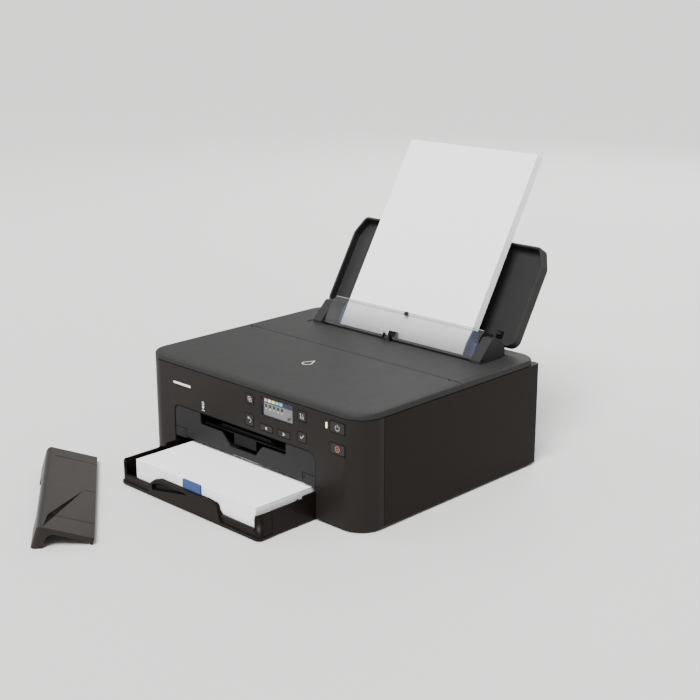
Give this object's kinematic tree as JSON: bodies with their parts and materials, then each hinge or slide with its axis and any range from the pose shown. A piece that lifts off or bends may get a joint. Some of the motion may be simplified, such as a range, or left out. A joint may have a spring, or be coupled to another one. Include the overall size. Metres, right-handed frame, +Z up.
{
  "type": "inkjet printer",
  "caption": "Desktop inkjet printer with front cassette, rear feed tray, small display and keys, opening lid, and a loose cassette cover.",
  "frame": {"origin": "bottom centre of the whole object's box, on the surface that it stands on", "axes": "+X to the right of someone facing the front, -Y towards the front, +Z up"},
  "size_m": [0.4314, 0.6638, 0.37],
  "materials": {
    "belt_rubber": "toothed belt",
    "board_green": "solder-masked board",
    "brass_part": "turned",
    "case_black": "fine moulded grain",
    "cassette_black": "satin",
    "cover_brown": "satin, warm dark grey",
    "door_grey": "fine moulded grain",
    "fascia": "satin, warm near-black",
    "film_clear": "clear film",
    "flap_clear": "smoky clear",
    "guide_blue": "satin blue",
    "guide_blue_clear": "translucent blue",
    "key_black": "satin",
    "lamp_lens": "clear lens over a pale green lamp",
    "motor_steel": "plated can",
    "paper_white": "plain office paper, cut edges",
    "roller_rubber": "ground rubber",
    "roller_steel": "fine grit-coated shaft",
    "rubber_black": "soft matte",
    "screen": "liquid-crystal panel",
    "screw_steel": "blackened",
    "side_cover": "fine moulded grain",
    "support_grey": "matte, fine grain",
    "tank_black": "ink tanks",
    "top_grey": "matte, fine grain",
    "tray_black": "satin",
    "white_nylon": "natural nylon",
    "window_clear": "clear, polished",
    "zinc_steel": "zinc-plated sheet"
  },
  "bodies": {
    "printer": {"bottom_case": "case_black", "front_fascia": "fascia", "left_side_cover": "side_cover", "right_side_cover": "side_cover", "rear_cover": "side_cover", "rear_top_cover": "top_grey", "feet": "rubber_black", "panel_board": "board_green", "lcd_window": "window_clear", "lcd_module": "screen", "led_lens": "lamp_lens", "door_inserts": "door_grey", "rear_tray_base": "tray_black", "paper_support": "support_grey", "chassis_frame": "zinc_steel", "carriage_rail": "zinc_steel", "carriage_belt": "belt_rubber", "drive_motors": "motor_steel", "feed_belt": "belt_rubber", "platen": "tray_black", "encoder_strip": "film_clear", "purge_unit": "white_nylon", "main_board": "board_green", "power_supply": "case_black", "power_inlet": "tray_black", "usb_socket": "motor_steel", "screws": "screw_steel"},
    "lid": {"top_cover": "top_grey"},
    "output_door": {"output_door": "door_grey"},
    "output_tray": {"output_tray": "tray_black"},
    "output_extension": {"output_extension": "tray_black"},
    "cassette": {"cassette_tray": "cassette_black", "cassette_front": "cassette_black", "cassette_paper": "paper_white", "length_stop": "guide_blue"},
    "cassette_guide_left": {"cassette_guide_left": "tray_black"},
    "cassette_guide_right": {"cassette_guide_right": "tray_black"},
    "cassette_cover": {"cassette_cover": "cover_brown"},
    "cassette_pickup": {"cassette_pickup_roller": "roller_rubber"},
    "rear_paper": {"rear_paper": "paper_white"},
    "rear_pickup": {"rear_pickup_roller": "roller_rubber"},
    "feed_slot_cover": {"feed_slot_cover": "flap_clear"},
    "rear_guide_left": {"rear_guide_left": "guide_blue_clear"},
    "rear_guide_right": {"rear_guide_right": "guide_blue_clear"},
    "rear_access_cover": {"rear_access_cover": "side_cover"},
    "print_carriage": {"carriage_body": "tray_black", "ink_tanks": "tank_black"},
    "carriage_motor_pulley": {"carriage_motor_pulley": "brass_part"},
    "idler_pulley": {"idler_pulley": "white_nylon"},
    "feed_roller": {"feed_roller": "roller_steel"},
    "eject_roller": {"eject_roller": "roller_rubber"},
    "feed_motor_pulley": {"feed_motor_pulley": "brass_part"},
    "key_home": {"key_home": "key_black"},
    "key_back": {"key_back": "key_black"},
    "key_left": {"key_left": "key_black"},
    "key_right": {"key_right": "key_black"},
    "key_setup": {"key_setup": "key_black"},
    "key_ok": {"key_ok": "key_black"},
    "key_power": {"key_power": "key_black"},
    "key_stop": {"key_stop": "key_black"}
  },
  "joints": [
    {"name": "lid_hinge", "type": "hinge", "parent": "printer", "child": "lid", "pos_m": [0.02972, 0.0962, 0.1375], "axis": [-1, 0, 0], "range_deg": [0, 50]},
    {"name": "key_home_press", "type": "slide", "parent": "printer", "child": "key_home", "axis": [0, 1, 0], "range_m": [0, 0.001], "stiffness_N_per_m": 300},
    {"name": "key_back_press", "type": "slide", "parent": "printer", "child": "key_back", "axis": [0, 1, 0], "range_m": [0, 0.001], "stiffness_N_per_m": 300},
    {"name": "key_left_press", "type": "slide", "parent": "printer", "child": "key_left", "axis": [0, 1, 0], "range_m": [0, 0.001], "stiffness_N_per_m": 300},
    {"name": "key_right_press", "type": "slide", "parent": "printer", "child": "key_right", "axis": [0, 1, 0], "range_m": [0, 0.001], "stiffness_N_per_m": 300},
    {"name": "key_setup_press", "type": "slide", "parent": "printer", "child": "key_setup", "axis": [0, 1, 0], "range_m": [0, 0.001], "stiffness_N_per_m": 300},
    {"name": "key_ok_press", "type": "slide", "parent": "printer", "child": "key_ok", "axis": [0, 1, 0], "range_m": [0, 0.001], "stiffness_N_per_m": 300},
    {"name": "key_power_press", "type": "slide", "parent": "printer", "child": "key_power", "axis": [0, 1, 0], "range_m": [0, 0.001], "stiffness_N_per_m": 300},
    {"name": "key_stop_press", "type": "slide", "parent": "printer", "child": "key_stop", "axis": [0, 1, 0], "range_m": [0, 0.001], "stiffness_N_per_m": 300},
    {"name": "output_door_hinge", "type": "hinge", "parent": "printer", "child": "output_door", "pos_m": [0.02972, -0.06755, 0.045], "axis": [1, 0, 0], "range_deg": [0, 90]},
    {"name": "output_tray_slide", "type": "slide", "parent": "printer", "child": "output_tray", "axis": [0, -1, 0], "range_m": [0, 0.13]},
    {"name": "output_extension_slide", "type": "slide", "parent": "output_tray", "child": "output_extension", "axis": [0, -1, 0], "range_m": [0, 0.09]},
    {"name": "cassette_slide", "type": "slide", "parent": "printer", "child": "cassette", "axis": [0, -1, 0], "range_m": [0, 0.2]},
    {"name": "cassette_guide_left_slide", "type": "slide", "parent": "cassette", "child": "cassette_guide_left", "axis": [-1, 0, 0], "range_m": [0, 0.003]},
    {"name": "cassette_guide_right_slide", "type": "slide", "parent": "cassette", "child": "cassette_guide_right", "axis": [1, 0, 0], "range_m": [0, 0.003]},
    {"name": "cassette_cover_lift", "type": "slide", "parent": "cassette", "child": "cassette_cover", "axis": [0, 0, 1], "range_m": [0, 0.15]},
    {"name": "cassette_pickup_spin", "type": "hinge", "parent": "printer", "child": "cassette_pickup", "pos_m": [0.02972, 0.1032, 0.0489], "axis": [1, 0, 0], "continuous": true},
    {"name": "rear_paper_lift", "type": "slide", "parent": "printer", "child": "rear_paper", "axis": [0, 0.515, 0.8572], "range_m": [0, 0.3]},
    {"name": "rear_pickup_spin", "type": "hinge", "parent": "printer", "child": "rear_pickup", "pos_m": [0.02972, 0.16641, 0.1261], "axis": [1, 0, 0], "continuous": true},
    {"name": "feed_slot_cover_hinge", "type": "hinge", "parent": "printer", "child": "feed_slot_cover", "pos_m": [0.02972, 0.17594, 0.1402], "axis": [1, 0, 0], "range_deg": [0, 88]},
    {"name": "rear_guide_left_slide", "type": "slide", "parent": "printer", "child": "rear_guide_left", "axis": [-1, 0, 0], "range_m": [0, 0.003]},
    {"name": "rear_guide_right_slide", "type": "slide", "parent": "printer", "child": "rear_guide_right", "axis": [1, 0, 0], "range_m": [0, 0.003]},
    {"name": "rear_access_hinge", "type": "hinge", "parent": "printer", "child": "rear_access_cover", "pos_m": [0.02972, 0.24435, 0.02515], "axis": [-1, 0, 0], "range_deg": [0, 75]},
    {"name": "carriage_slide", "type": "slide", "parent": "printer", "child": "print_carriage", "axis": [-1, 0, 0], "range_m": [0, 0.235]},
    {"name": "carriage_motor_spin", "type": "hinge", "parent": "printer", "child": "carriage_motor_pulley", "pos_m": [0.17972, 0.0882, 0.106], "axis": [0, 1, 0], "continuous": true},
    {"name": "idler_spin", "type": "hinge", "parent": "printer", "child": "idler_pulley", "pos_m": [-0.12028, 0.0882, 0.106], "axis": [0, 1, 0], "continuous": true},
    {"name": "feed_roller_spin", "type": "hinge", "parent": "printer", "child": "feed_roller", "pos_m": [0.02972, 0.0832, 0.076], "axis": [1, 0, 0], "continuous": true},
    {"name": "eject_roller_spin", "type": "hinge", "parent": "printer", "child": "eject_roller", "pos_m": [0.02972, 0.0132, 0.077], "axis": [1, 0, 0], "continuous": true},
    {"name": "feed_motor_spin", "type": "hinge", "parent": "printer", "child": "feed_motor_pulley", "pos_m": [0.02972, 0.1282, 0.06], "axis": [1, 0, 0], "continuous": true}
  ],
  "couplings": [
    {"joint": "cassette_guide_right_slide", "follows": "cassette_guide_left_slide", "ratio": 1},
    {"joint": "rear_guide_right_slide", "follows": "rear_guide_left_slide", "ratio": 1},
    {"joint": "carriage_motor_spin", "follows": "carriage_slide", "rad_per_m": -158.73},
    {"joint": "idler_spin", "follows": "carriage_slide", "rad_per_m": -158.73},
    {"joint": "eject_roller_spin", "follows": "feed_roller_spin", "ratio": 1.1399},
    {"joint": "feed_motor_spin", "follows": "feed_roller_spin", "ratio": 2.5873}
  ]
}
